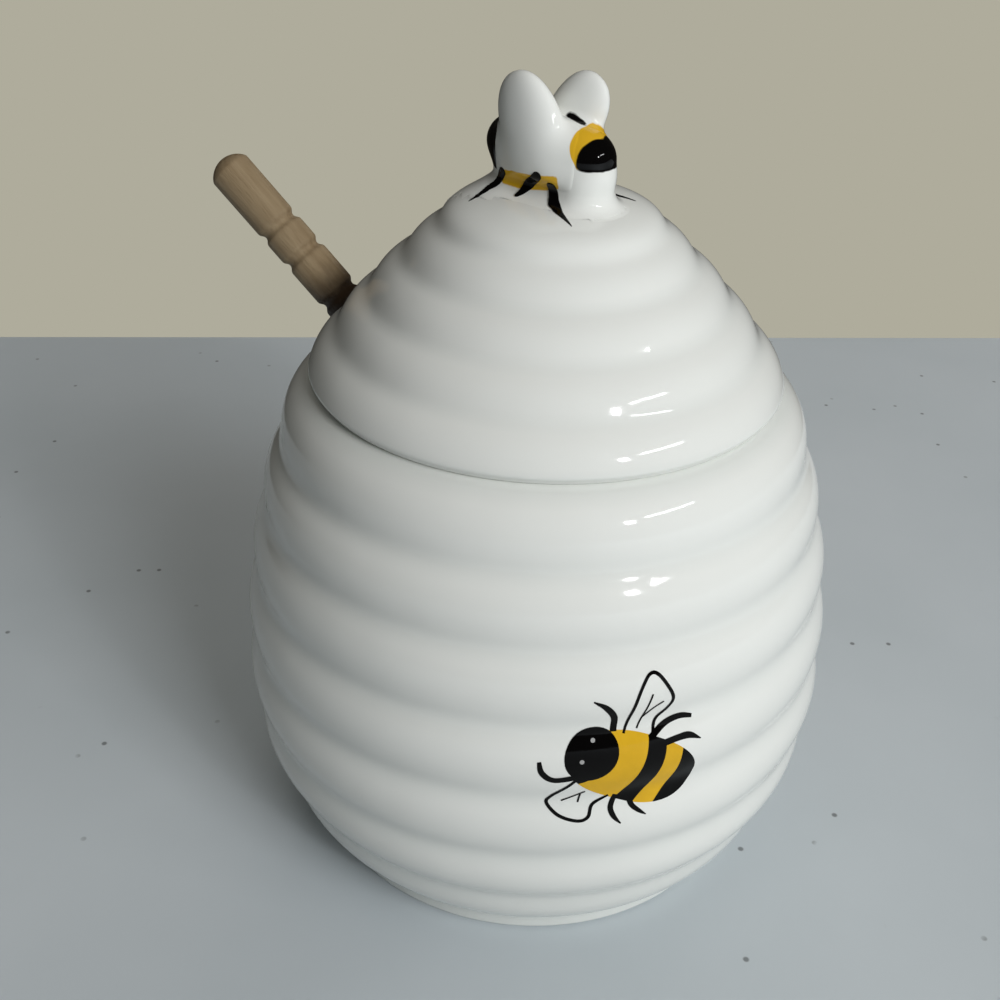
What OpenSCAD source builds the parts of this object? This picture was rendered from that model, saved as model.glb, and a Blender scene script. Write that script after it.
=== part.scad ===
// Beehive honey pot with a lift-off lid, a clay bee as the lid's knob and a wooden dipper.
// Millimetres. The pot stands on the plane z = 0 with its axis on z, and is seen from the front along +y.

/* [Pot] */
// Height of the pot from the table to its rim
pot_height = 85.8; // [65:0.1:110]
// Width across the grooves where the pot is widest
belly_d = 97.2; // [80:0.1:120]
// Height of the widest place as a share of the pot's height
belly_share = 0.373; // [0.3:0.001:0.45]
// Width of the foot ring
foot_d = 77.4; // [60:0.1:90]
// Width of the seam between pot and lid
seam_d = 75; // [66:0.1:84]
// How far a ridge stands out from the line between its grooves
pot_ridge = 1.8; // [0.8:0.1:2.6]
// Thickness of the wall behind the grooves at the widest place
wall = 4; // [3:0.1:5]
// Thickness of the floor
floor_thickness = 5.5; // [4:0.1:8]
// Depth of the hollow under the foot
foot_hollow = 1.2; // [0.6:0.1:2]
// Width of the flat ring that the pot stands on
foot_ring = 4.5; // [3:0.1:7]
// Width of the flat top of the rim
rim_flat = 1.8; // [1.2:0.1:2.4]
// Height of the sloped edge that the lid and the pot each have at the seam
seam_slope = 0.7; // [0.4:0.1:1.2]
// How far the touching faces of lid and pot lie behind the seam's edges
seam_depth = 0.9; // [0.5:0.1:1.4]

/* [Lid] */
// Height of the lid from the seam to its uppermost groove
lid_rise = 24; // [18:0.1:30]
// Width of the uppermost groove
crown_d = 33.2; // [28:0.1:40]
// Height of the crown above the uppermost groove
crown_rise = 4.5; // [3:0.1:7]
// How far the crown bulges out over the uppermost groove
crown_bulge = 0.2; // [0.1:0.1:1.2]
// Fullness of the crown's shoulder, where 2 is a plain dome
crown_fullness = 2.6; // [2:0.1:3.4]
// How far a ridge of the lid stands out from the line between its grooves
lid_ridge = 0.9; // [0.4:0.1:2]
// How far the line of the lid's grooves bows outwards
lid_bow = 1; // [0:0.1:3]
// Thickness of the lid behind its grooves
lid_wall = 3.2; // [2.4:0.1:4]
// How far the locating ring reaches down into the pot
ring_drop = 5; // [3:0.1:8]
// Thickness of the locating ring
ring_wall = 2.6; // [2:0.1:4]
// Gap all round between the locating ring and the pot
ring_gap = 0.8; // [0.5:0.1:1.2]
// Gap all round between the handle and the notch in the lid
notch_gap = 0.9; // [0.6:0.1:1.5]

/* [Bee] */
// Direction of the bee's head, turned from x towards y
bee_turn = -37; // [-180:1:180]
// Length of the bee's body
bee_length = 23.8; // [18:0.1:28]
// Width of the bee's body
bee_d = 10.2; // [8:0.1:11]
// Height of the middle of the bee's body above the seam
bee_rise = 34.6; // [33:0.1:37]
// How far the body's middle lies behind the pot's axis
bee_back = 1.9; // [0:0.1:4]
// How much shorter the tail's half of the body is than the head's
tail_shorter = 1.9; // [0:0.1:3]
// Height of a wing above the middle of the body
wing_height = 11.7; // [8:0.1:14]
// Width of a wing
wing_width = 8.4; // [7:0.1:11]
// Greatest thickness of a wing
wing_thickness = 6; // [4:0.1:7]
// How far each wing leans outwards
wing_lean = 7; // [0:1:20]
// How far a wing's middle stands out from the middle of the body
wing_out = 2.9; // [2:0.1:4]
// How far a wing's middle lies ahead of the middle of the body
wing_ahead = 1.2; // [0:0.1:3]
// How far the left wing leans ahead and the right wing leans back
wing_skew = 17; // [0:1:25]
// How far down the flank a wing reaches
wing_foot = 2.8; // [1:0.1:4]
// Half width of the plinth that carries the body
plinth_r = 4.5; // [3.5:0.1:5]

/* [Dipper] */
// Direction in which the handle leans out, turned from x towards y
dipper_turn = 162.5; // [90:0.5:180]
// Angle between the handle and the pot's axis
dipper_lean = 45.4; // [40:0.1:50]
// Length of the whole dipper
dipper_length = 128; // [110:0.5:140]
// Width of the handle
handle_d = 7; // [6:0.1:8]
// Gap between the resting dipper and the pot
rest_gap = 0.1; // [0.05:0.01:0.4]
// Length of the ringed head
head_length = 27; // [20:0.5:32]
// Width of the head's middle rings
head_d = 20; // [16:0.5:24]
// Number of rings on the head
head_rings = 7; // [5:1:9]
// Depth of the turned grooves in the handle
groove_depth = 0.6; // [0.3:0.1:1]

/* [Hidden] */
$fn = 96;

porcelain = [0.93, 0.93, 0.91];
yellow_glaze = [0.85, 0.65, 0.10];
beech = [0.74, 0.58, 0.40];

belly_r = belly_d / 2;
belly_z = pot_height * belly_share;
foot_r = foot_d / 2;
seam_r = seam_d / 2;
foot_z = pot_height * 0.048;
// Shares of the ridged height at which the grooves lie, from the foot up
groove_shares = [0, 0.149, 0.292, 0.441, 0.594, 0.74, 0.873, 1];
lid_grooves = 4;
groove_inset = 0.6;

// The grooves of the pot lie on two halves of ellipses that meet at the widest place
upper_rise = (pot_height - belly_z) / sqrt(1 - pow(seam_r / belly_r, 2));
lower_rise = (belly_z - foot_z) / sqrt(1 - pow((foot_r + 0.4) / belly_r, 2));
function ellipse_r(r, rise, dz) = r * sqrt(1 - pow(dz / rise, 2));
function pot_r(z) = ellipse_r(belly_r, z > belly_z ? upper_rise : lower_rise, z - belly_z);
ridged_height = pot_height - seam_slope - foot_z;
function pot_groove(i) = let (z = foot_z + ridged_height * groove_shares[i]) [pot_r(z), z];

// The inside is smooth, thins towards the rim and rounds into the floor
inner_belly_r = belly_r - wall;
seat_r = seam_r - seam_depth;
mouth_r = seat_r - rim_flat;
floor_r = inner_belly_r * 0.66;
inner_upper = (pot_height - belly_z) / sqrt(1 - pow(mouth_r / inner_belly_r, 2));
inner_lower = (belly_z - floor_thickness) / sqrt(1 - pow(floor_r / inner_belly_r, 2));
function cavity_r(z) = ellipse_r(inner_belly_r, z > belly_z ? inner_upper : inner_lower, z - belly_z);

// The grooves of the lid lie on a shallow bow from the seam up to the crown
lid_run = [crown_d / 2 - seam_r, lid_rise - seam_slope];
lid_out = [lid_run.y, -lid_run.x] / norm(lid_run);
function bow_point(t, inset = 0) =
    [seam_r, pot_height + seam_slope] + lid_run * t + lid_out * (lid_bow * 4 * t * (1 - t) - inset);
function lid_groove(i) = bow_point(i / lid_grooves);
crown_z = pot_height + lid_rise + crown_rise;
crown_r = crown_d / 2 + crown_bulge;
function full_arc(a) = pow(max(a, 0), 2 / crown_fullness);
ring_r = mouth_r - ring_gap;

// One ridge is part of a circle that passes through the grooves on both sides of it
module ridge(a, b, height) {
    half = norm(b - a) / 2;
    r = (half * half + height * height) / 2 / height;
    out = [(b - a).y, -(b - a).x] / norm(b - a);
    translate((a + b) / 2 + out * (height - r)) circle(r);
}

// Keeps what lies between two heights of a half outline
module between(low, high) {
    intersection() {
        children();
        translate([0, low]) square([belly_d, high - low]);
    }
}

// Half outline of the pot without its inside. The core ends a little behind the grooves
module pot_outline() {
    last = len(groove_shares) - 1;
    core = [for (i = [1:last]) pot_groove(i) - [groove_inset, 0]];
    between(0, pot_height) {
        polygon(concat(
            [[0, 0], [foot_r, 0], [foot_r + 0.5, foot_z + 1.2]], core, [[0, pot_height - seam_slope]]));
        for (i = [0:last - 1]) ridge(pot_groove(i), pot_groove(i + 1), pot_ridge);
    }
}

module pot_inside() {
    steps = 24;
    rise = (pot_height - floor_thickness) / steps;
    side = [for (i = [0:steps]) let (z = floor_thickness + rise * i) [cavity_r(z), z]];
    polygon(concat([[0, floor_thickness]], side, [[mouth_r, pot_height + 1], [0, pot_height + 1]]));
}

module pot() {
    color(porcelain)
    rotate_extrude()
    difference() {
        pot_outline();
        pot_inside();
        polygon([
            [0, -1], [foot_r - foot_ring, -1], [foot_r - foot_ring - 1, foot_hollow], [0, foot_hollow]]);
    }
}

// Half outline of the lid without its inside, up to the rounded crown
module lid_outline() {
    crown_base = crown_z - crown_rise;
    core = [for (i = [0:lid_grooves]) lid_groove(i) - [groove_inset, 0]];
    difference() {
        between(pot_height, crown_base + crown_d) {
            polygon(concat([[0, pot_height], [seat_r - groove_inset, pot_height]], core, [[0, crown_base]]));
            for (i = [0:lid_grooves - 1]) ridge(lid_groove(i), lid_groove(i + 1), lid_ridge);
            polygon(concat([[0, crown_base - 1], [crown_r - 1.4, crown_base - 1]], [for (a = [0:6:90])
                [crown_r * full_arc(cos(a)), crown_base + crown_rise * full_arc(sin(a))]]));
        }
        translate([seat_r, pot_height]) polygon([[0, 0], [9, 9], [9, -1], [0, -1]]);
    }
}

module lid_inside() {
    inner_r = ring_r - ring_wall;
    below = pot_height - ring_drop - 1;
    slope = [for (t = [0:0.125:1]) let (p = bow_point(t, lid_wall)) if (p.x < inner_r - 0.5) p];
    polygon(concat(
        [[0, below], [inner_r, below], [inner_r, slope[0].y - 1.5]], slope,
        [[0, crown_z - lid_wall - 1]]));
}

module lid_solid() {
    rotate_extrude()
    difference() {
        union() {
            lid_outline();
            translate([0, pot_height - ring_drop]) square([ring_r, ring_drop]);
        }
        lid_inside();
    }
}

// Moves a shape drawn along z onto the resting dipper's axis, its foot end at distance s from the rim
rim_edge = [mouth_r, pot_height];
lean_up = [sin(dipper_lean), cos(dipper_lean)];
lean_out = [-lean_up.y, lean_up.x];
axis_point = rim_edge + lean_out * (handle_d / 2 + rest_gap);
module on_dipper_axis(s = 0) {
    foot = axis_point + lean_up * s;
    rotate(dipper_turn) translate([foot.x, 0, foot.y]) rotate([0, dipper_lean, 0]) children();
}

// The notch is a twelve-sided arch around the handle, open below so that the lid lifts straight off
module notch() {
    r = handle_d / 2 + notch_gap;
    reach = pot_height / 4;
    on_dipper_axis(-reach)
    linear_extrude(reach * 3) {
        circle(r, $fn = 12);
        translate([0, -r]) square([reach * 1.6, r * 2]);
    }
}

module lid() {
    color(porcelain)
    difference() {
        lid_solid();
        notch();
    }
}

// The bee's own frame: x towards its head, z up, with the middle of the body at the origin
module in_bee_frame() {
    rotate(bee_turn) translate([-bee_back, 0, pot_height + bee_rise]) children();
}

// A long egg, blunt at the head and narrower at the tail, turned about its own length
module bee_core() {
    steps = 24;
    head = bee_length / 2;
    tail = bee_length / 2 - tail_shorter;
    rotate([0, 90, 0])
    rotate_extrude()
    polygon([for (i = [0:steps]) let (a = 180 * i / steps, c = cos(a))
        [bee_d / 2 * pow(max(sin(a), 0), 0.83), c > 0 ? -tail * pow(c, 0.9) : head * pow(-c, 0.74)]]);
}

// Half outlines of the plinth below the body, and of the foot below the tail that spreads to the crown's edge
plinth_drop = bee_rise - lid_rise;
plinth_front = bee_length / 2 - plinth_r;
tail_x = plinth_r + tail_shorter - bee_length / 2;
tail_foot_r = crown_r - 0.4 - bee_back + tail_x;
plinth_line = [
    [plinth_r, -bee_d * 0.12], [plinth_r + 0.1, -bee_d * 0.4], [plinth_r + 0.4, -bee_d * 0.55],
    [plinth_r + 1.2, -bee_d * 0.67], [plinth_r + 2.8, -plinth_drop]];
tail_line = [
    [tail_foot_r * 0.28, -bee_d * 0.33], [tail_foot_r * 0.5, -bee_d * 0.49],
    [tail_foot_r * 0.75, -bee_d * 0.7], [tail_foot_r, -plinth_drop]];

module turned_column(line) {
    rotate_extrude() polygon(concat([[0, line[0].y]], line, [[0, -plinth_drop]]));
}

// The plinth is round at both ends, straight between them and cut off below by the crown of the lid
module bee_plinth() {
    rear = tail_x + plinth_r * 0.45;
    last = len(plinth_line) - 1;
    for (x = [rear, plinth_front]) translate([x, 0, 0]) turned_column(plinth_line);
    translate([rear, 0, 0]) rotate([90, 0, 90]) linear_extrude(plinth_front - rear)
    polygon(concat(plinth_line, [for (i = [last:-1:0]) [-plinth_line[i].x, plinth_line[i].y]]));
    translate([tail_x, 0, 0]) turned_column(tail_line);
}

module bee_body() {
    color(yellow_glaze)
    difference() {
        in_bee_frame() {
            bee_core();
            bee_plinth();
        }
        rotate_extrude() lid_outline();
    }
}

// A thick petal with rounded ends that stands on the flank of the body and thins towards its edge
module wing(side) {
    half = (wing_height + wing_foot) / 2;
    lens_r = (half * half * 1.5 + pow(wing_thickness / 2, 2)) / wing_thickness;
    petal = [for (a = [0:10:350])
        [wing_width / 2 * sign(cos(a)) * pow(abs(cos(a)), 0.9),
        wing_height - half + half * sign(sin(a)) * pow(abs(sin(a)), 0.8)]];
    color(porcelain)
    difference() {
        in_bee_frame()
        translate([wing_ahead, side * wing_out, 0])
        rotate([-side * wing_lean, 0, 0])
        rotate([0, side * wing_skew, 0])
        intersection() {
            rotate([90, 0, 0]) linear_extrude(wing_thickness * 2, center = true) polygon(petal);
            translate([0, lens_r - wing_thickness / 2, half / 2]) sphere(lens_r);
            translate([0, wing_thickness / 2 - lens_r, half / 2]) sphere(lens_r);
        }
        in_bee_frame() {
            bee_core();
            bee_plinth();
        }
    }
}

module bee_wing_left() {
    wing(1);
}

module bee_wing_right() {
    wing(-1);
}

// The head slides down the axis until its end comes to rest against the pot
head_r = head_d / 2;
end_r = head_r * 0.78;
ring_pitch = head_length / (head_rings + 0.5);
function ring_r_at(i) =
    let (t = (i + 0.5) / head_rings * 2 - 1) end_r + (head_r - end_r) * (1 - t * t);
function spot(s, r, turn) =
    let (p = axis_point + lean_up * s + lean_out * (r * cos(turn))) [norm([p.x, r * sin(turn)]), p.y];
function gap_at(q) = min(cavity_r(max(q.y, floor_thickness)) - q.x, q.y - floor_thickness);
function head_gap(s) = min([
    for (i = [0:head_rings - 1]) for (turn = [0:20:180])
        gap_at(spot(s + ring_pitch * (i + 0.1), ring_r_at(i), turn))]);
function rest_at(s) = head_gap(s - 0.5) < rest_gap + 0.4 ? s : rest_at(s - 0.5);
dipper_foot = rest_at(-pot_height * 0.5);

// Half outline of the turned head, a ring and the groove above it at a time
function ring_points(i) =
    let (z = ring_pitch * i, r = ring_r_at(i), top = z + ring_pitch * 0.58) [
        [r - 0.5, z], [r, z + 0.5], [r, top - 0.5], [r - 0.5, top],
        [handle_d * 0.62, top + 0.4], [handle_d * 0.62, z + ring_pitch - 0.4]];

// A small turned groove at height z
function groove_points(z) = [
    [handle_d / 2, z - 1], [handle_d / 2 - groove_depth, z - 0.3],
    [handle_d / 2 - groove_depth, z + 0.3], [handle_d / 2, z + 1]];

module dipper() {
    grooves = [28.2, 19.6, 13.8];
    tip_r = handle_d / 2;
    color(beech)
    on_dipper_axis(dipper_foot)
    rotate_extrude()
    union() {
        polygon(concat(
            [[0, -1.2], [end_r * 0.6, -0.6]],
            [for (i = [0:head_rings - 1]) each ring_points(i)],
            [[handle_d * 0.5, head_length + 1.5]],
            [for (g = grooves) each groove_points(dipper_length - g)],
            [[tip_r, dipper_length - tip_r * 0.6], [0, dipper_length - tip_r * 0.6]]));
        intersection() {
            translate([0, dipper_length - tip_r * 1.17]) circle(tip_r * 1.17);
            translate([0, dipper_length - tip_r * 0.61]) square([tip_r, tip_r]);
        }
    }
}

pot();
lid();
bee_body();
bee_wing_left();
bee_wing_right();
dipper();
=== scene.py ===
"""A beehive honey pot with a loose lid, a clay bee as its knob and a wooden dipper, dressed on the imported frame.

Lengths are in millimetres unless a name ends in _m, and angles are in degrees. The pot stands on z = 0 and its front
looks along -y."""

import math

import bmesh
import bpy
import numpy as np
from mathutils import Matrix, Vector


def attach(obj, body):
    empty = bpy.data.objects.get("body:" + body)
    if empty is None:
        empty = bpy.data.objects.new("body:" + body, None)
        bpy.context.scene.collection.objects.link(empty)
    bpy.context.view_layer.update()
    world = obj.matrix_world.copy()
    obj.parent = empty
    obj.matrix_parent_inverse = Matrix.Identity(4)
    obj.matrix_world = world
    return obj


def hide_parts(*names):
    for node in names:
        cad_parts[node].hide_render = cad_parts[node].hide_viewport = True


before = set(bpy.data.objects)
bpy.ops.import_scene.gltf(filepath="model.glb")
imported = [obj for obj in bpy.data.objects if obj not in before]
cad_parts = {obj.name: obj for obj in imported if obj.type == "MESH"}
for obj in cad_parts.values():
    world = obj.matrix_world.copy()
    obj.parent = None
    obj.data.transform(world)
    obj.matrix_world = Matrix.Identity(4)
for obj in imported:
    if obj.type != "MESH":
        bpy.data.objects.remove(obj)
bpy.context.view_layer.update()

MM = 0.001

# Sizes of the pot and the lid, as in the part's source
POT_HEIGHT, BELLY_R, FOOT_R, SEAM_R = 85.8, 48.6, 38.7, 37.5
BELLY_Z, FOOT_Z = POT_HEIGHT * 0.373, POT_HEIGHT * 0.048
GROOVE_SHARES = (0, 0.149, 0.292, 0.441, 0.594, 0.74, 0.873, 1)
POT_RIDGE, LID_RIDGE, SEAM_SLOPE, SEAM_DEPTH = 1.8, 0.9, 0.7, 0.9
WALL, FLOOR, FOOT_HOLLOW, FOOT_RING, RIM_FLAT = 4.0, 5.5, 1.2, 4.5, 1.8
MOUTH_R, SEAT_R = SEAM_R - SEAM_DEPTH - RIM_FLAT, SEAM_R - SEAM_DEPTH
LID_RISE, CROWN_R, CROWN_RISE, LID_BOW, LID_WALL = 24.0, 16.6, 4.5, 1.0, 3.2
# A little more bulge than in the source, because the softening below takes some of it away
CROWN_BULGE, CROWN_FULLNESS = 0.4, 2.3
RING_DROP, RING_WALL, RING_GAP, NOTCH_GAP = 5.0, 2.6, 0.8, 0.9
CROWN_Z = POT_HEIGHT + LID_RISE + CROWN_RISE

# How far the glaze has rounded the grooves between the ridges
RIDGE_SOFTNESS = 1.35

# Sizes of the bee on the lid
BEE_TURN, BEE_BACK, BEE_Z = -37.0, 1.9, POT_HEIGHT + 34.6
BEE_LENGTH, BEE_R, TAIL_SHORTER, PLINTH_R = 23.8, 5.1, 1.9, 4.5
TAIL_X = PLINTH_R + TAIL_SHORTER - BEE_LENGTH / 2
# A rounded wing is wider and leans less than the flat petal of the part's source, for the same outline in the photo
WING_THICK, WING_LEAN, WING_OUT, WING_FOOT, WING_BELOW = 6.2, 5.0, 2.8, -2.8, 7.0
# Length and half width of the left (1) and the right (-1) wing, how much wider it grows towards its tip, its turn along
# the body and how far ahead it stands
WING_HEIGHT, WING_R, WING_FLARE = {1: 12.2, -1: 11.85}, {1: 4.4, -1: 5.4}, {1: 0.2, -1: 0.0}
WING_SKEW, WING_AHEAD = {1: 30.0, -1: 21.0}, {1: 0.2, -1: 1.3}

# Sizes of the dipper. Its handle ends 3.6 mm past the source's, where the photo shows its end
DIPPER_TURN, DIPPER_LEAN, DIPPER_LENGTH = 162.5, 45.4, 131.6
HANDLE_R, REST_GAP, HEAD_LENGTH, HEAD_R, HEAD_RINGS, GROOVE_DEPTH = 3.5, 0.1, 27.0, 10.0, 7, 0.6
HANDLE_GROOVES = (28.2, 19.6, 13.8)
# How far from its top end the handle is drawn dark as painted shade, where the lid shades it and on down into the pot
SHADE_FROM_END = 24.5


# ---------------------------------------------------------------- outlines
def ridge_arc(a, b, height, steps=16):
    """Points of a ridge from groove a to groove b, without b."""
    a, b = np.array(a), np.array(b)
    half = np.linalg.norm(b - a) / 2
    r = (half**2 + height**2) / 2 / height
    out = np.array([(b - a)[1], -(b - a)[0]]) / (2 * half)
    centre = (a + b) / 2 + out * (height - r)
    first, last = (math.atan2(p[1] - centre[1], p[0] - centre[0]) for p in (a, b))
    turns = [first + (last - first) * i / steps for i in range(steps)]
    return [centre + r * np.array([math.cos(t), math.sin(t)]) for t in turns]


def dense(points, spacing):
    """The same line with a point every so many millimetres."""
    p = np.array(points, float)
    run = np.concatenate([[0], np.cumsum(np.linalg.norm(np.diff(p, axis=0), axis=1))])
    n = max(2, int(round(run[-1] / spacing)) + 1)
    at = np.linspace(0, run[-1], n)
    return np.stack([np.interp(at, run, p[:, k]) for k in range(p.shape[1])], axis=1)


def soften(points, radius, spacing=0.2):
    """Rounds the corners of a line as glaze or sanding does, and leaves its ends where they are."""
    p = dense(points, spacing)
    reach = int(3 * radius / spacing)
    weights = np.exp(-0.5 * (np.arange(-reach, reach + 1) * spacing / radius) ** 2)
    weights /= weights.sum()
    head, tail = 2 * p[0] - p[1 : reach + 1][::-1], 2 * p[-1] - p[-reach - 1 : -1][::-1]
    long = np.concatenate([head, p, tail])
    return np.stack([np.convolve(long[:, k], weights, "valid") for k in range(2)], axis=1)


def ellipse_r(r, rise, dz):
    return r * math.sqrt(max(0.0, 1 - (dz / rise) ** 2))


def pot_line_r(z):
    """Radius of the line through the grooves of the pot."""
    upper = (POT_HEIGHT - BELLY_Z) / math.sqrt(1 - (SEAM_R / BELLY_R) ** 2)
    lower = (BELLY_Z - FOOT_Z) / math.sqrt(1 - ((FOOT_R + 0.4) / BELLY_R) ** 2)
    return ellipse_r(BELLY_R, upper if z > BELLY_Z else lower, z - BELLY_Z)


def pot_grooves():
    ridged = POT_HEIGHT - SEAM_SLOPE - FOOT_Z
    return [(pot_line_r(FOOT_Z + ridged * s), FOOT_Z + ridged * s) for s in GROOVE_SHARES]


def cavity_r(z):
    r = BELLY_R - WALL
    upper = (POT_HEIGHT - BELLY_Z) / math.sqrt(1 - (MOUTH_R / r) ** 2)
    lower = (BELLY_Z - FLOOR) / math.sqrt(1 - 0.66**2)
    return ellipse_r(r, upper if z > BELLY_Z else lower, z - BELLY_Z)


def pot_outline():
    """Closed half outline of the pot, from the axis under the foot round to the axis on the floor."""
    grooves = pot_grooves()
    outer = [(FOOT_R + 0.1, 0.6)]
    for a, b in zip(grooves, grooves[1:]):
        outer += ridge_arc(a, b, POT_RIDGE)
    outer.append(grooves[-1])
    outer = [tuple(p) for p in soften(outer, RIDGE_SOFTNESS)] + [(SEAT_R, POT_HEIGHT - 0.05)]
    foot = [(0, FOOT_HOLLOW), (FOOT_R - FOOT_RING - 1, FOOT_HOLLOW), (FOOT_R - FOOT_RING, 0), (FOOT_R - 0.4, 0)]
    inside = [(cavity_r(z), z) for z in np.linspace(POT_HEIGHT - 0.6, FLOOR, 60)] + [(0, FLOOR)]
    rim = [(SEAT_R - 0.3, POT_HEIGHT), (MOUTH_R + 0.6, POT_HEIGHT)]
    return soften(foot + outer + rim + inside, 0.22)


def bow_point(t, inset=0.0):
    """A point on the line through the lid's grooves, t from 0 at the seam to 1 at the crown."""
    run = np.array([CROWN_R - SEAM_R, LID_RISE - SEAM_SLOPE])
    out = np.array([run[1], -run[0]]) / np.linalg.norm(run)
    return np.array([SEAM_R, POT_HEIGHT + SEAM_SLOPE]) + run * t + out * (LID_BOW * 4 * t * (1 - t) - inset)


def crown_arc(steps=40):
    """The crown from its edge to the axis, a dome with full shoulders."""
    turns = [math.pi / 2 * i / steps for i in range(steps + 1)]
    power = 2 / CROWN_FULLNESS
    r, low = CROWN_R + CROWN_BULGE, CROWN_Z - CROWN_RISE
    return [(r * max(math.cos(a), 0) ** power, low + CROWN_RISE * math.sin(a) ** power) for a in turns]


def lid_outline():
    """Closed half outline of the lid, from the axis under the crown round to the axis on top."""
    inner_r, ring_r = MOUTH_R - RING_GAP - RING_WALL, MOUTH_R - RING_GAP
    slope = [bow_point(t, LID_WALL) for t in np.linspace(1, 0, 9)]
    slope = [tuple(p) for p in slope if p[0] < inner_r - 0.5]
    inside = [(0, CROWN_Z - LID_WALL - 1)] + slope + [(inner_r, slope[-1][1] - 1.5)]
    ring = [(inner_r, POT_HEIGHT - RING_DROP), (ring_r, POT_HEIGHT - RING_DROP), (ring_r, POT_HEIGHT)]
    below = inside + ring + [(SEAT_R, POT_HEIGHT)]
    grooves = [bow_point(i / 4) for i in range(5)]
    above = []
    for a, b in zip(grooves, grooves[1:]):
        above += [tuple(p) for p in ridge_arc(a, b, LID_RIDGE) if p[1] > POT_HEIGHT + 1.0]
    above += crown_arc()
    return soften(below + [tuple(p) for p in soften(above, RIDGE_SOFTNESS * 0.8)], 0.22)


def outline_normals(outline):
    """Smooth outward normals of a half outline that runs with its inside on the left."""
    way = np.gradient(outline, axis=0)
    n = np.stack([way[:, 1], -way[:, 0]], axis=1)
    return n / np.maximum(np.linalg.norm(n, axis=1, keepdims=True), 1e-9)


# ---------------------------------------------------------------- meshes
def new_piece(name, verts, faces, body, replaced=(), normals=None):
    """An object of smooth faces whose points are given in millimetres."""
    mesh = bpy.data.meshes.new(name)
    mesh.from_pydata([tuple(v) for v in np.asarray(verts, float) * MM], [], [tuple(int(i) for i in f) for f in faces])
    mesh.shade_smooth()
    if normals is not None:
        mesh.normals_split_custom_set_from_vertices([tuple(n) for n in normals])
    obj = bpy.data.objects.new(name, mesh)
    bpy.context.scene.collection.objects.link(obj)
    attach(obj, body)
    if replaced:
        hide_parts(*replaced)
    return obj


def add_values(obj, name, values):
    """Keeps one number or one direction a point for the materials to read."""
    values = np.asarray(values, np.float32)
    kind, field = ("FLOAT", "value") if values.ndim == 1 else ("FLOAT_VECTOR", "vector")
    attribute = obj.data.attributes.new(name, kind, "POINT")
    attribute.data.foreach_set(field, values.ravel())


def turned(outline, turns):
    """Points and faces of an outline from axis to axis, turned about z. turns are the angles of its columns."""
    ring = outline[1:-1]
    n, m = len(turns), len(ring)
    cos, sin = np.cos(turns), np.sin(turns)
    verts = np.stack([np.outer(cos, ring[:, 0]), np.outer(sin, ring[:, 0]), np.tile(ring[:, 1], (n, 1))], axis=2)
    verts = np.concatenate([verts.reshape(-1, 3), [[0, 0, outline[0, 1]], [0, 0, outline[-1, 1]]]])
    faces = []
    for i in range(n):
        a, b = i * m, (i + 1) % n * m
        faces += [(a + k, b + k, b + k + 1, a + k + 1) for k in range(m - 1)]
        faces += [(n * m, b, a), (n * m + 1, a + m - 1, b + m - 1)]
    return verts, faces


def even_turns(n):
    return np.linspace(0, 2 * math.pi, n, endpoint=False)


# ---------------------------------------------------------------- fields
def nearest_on_outline(outline, r, z):
    """Signed distance to a closed half outline, less than 0 inside, and its smooth normal there."""
    a, b = outline[:-1], outline[1:]
    normals = outline_normals(outline)
    dist, normal = np.empty(len(r)), np.empty((len(r), 2))
    for start in range(0, len(r), 4000):
        part = slice(start, start + 4000)
        p = np.stack([r[part], z[part]], axis=1)[:, None]
        ab = (b - a)[None]
        t = np.clip(((p - a) * ab).sum(2) / (ab**2).sum(2), 0, 1)
        off = p - (a + ab * t[..., None])
        d = (off**2).sum(2)
        k = d.argmin(1)
        row = np.arange(len(k))
        tk = t[row, k][:, None]
        n = normals[k] * (1 - tk) + normals[k + 1] * tk
        n /= np.linalg.norm(n, axis=1, keepdims=True)
        side = np.sign((off[row, k] * n).sum(1))
        dist[part], normal[part] = np.sqrt(d[row, k]) * side, n
    return dist, normal


def smooth_max(one, other, width):
    """Common part of two fields with a rounded edge. Each is (distance, direction)."""
    (d1, g1), (d2, g2) = one, other
    h = np.clip(0.5 + 0.5 * (d1 - d2) / width, 0, 1)
    g = g2 * (1 - h)[:, None] + g1 * h[:, None]
    return d2 * (1 - h) + d1 * h + width * h * (1 - h), g / np.maximum(np.linalg.norm(g, axis=1, keepdims=True), 1e-9)


def smooth_least(a, b, width):
    h = np.clip(0.5 + 0.5 * (b - a) / width, 0, 1)
    return b * (1 - h) + a * h - width * h * (1 - h)


def smooth_most(a, b, width):
    return -smooth_least(-a, -b, width)


def slopes(field, p, step=0.02):
    """Unit directions in which a field grows."""
    steps = np.eye(3) * step
    g = np.stack([field(p + s) - field(p - s) for s in steps], axis=1) / (2 * step)
    size = np.linalg.norm(g, axis=1, keepdims=True)
    return g / np.maximum(size, 1e-9), size[:, 0]


CELL_EDGES = [(o, k) for k in range(3) for o in np.ndindex(2, 2, 2) if o[k] == 0]


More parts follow.
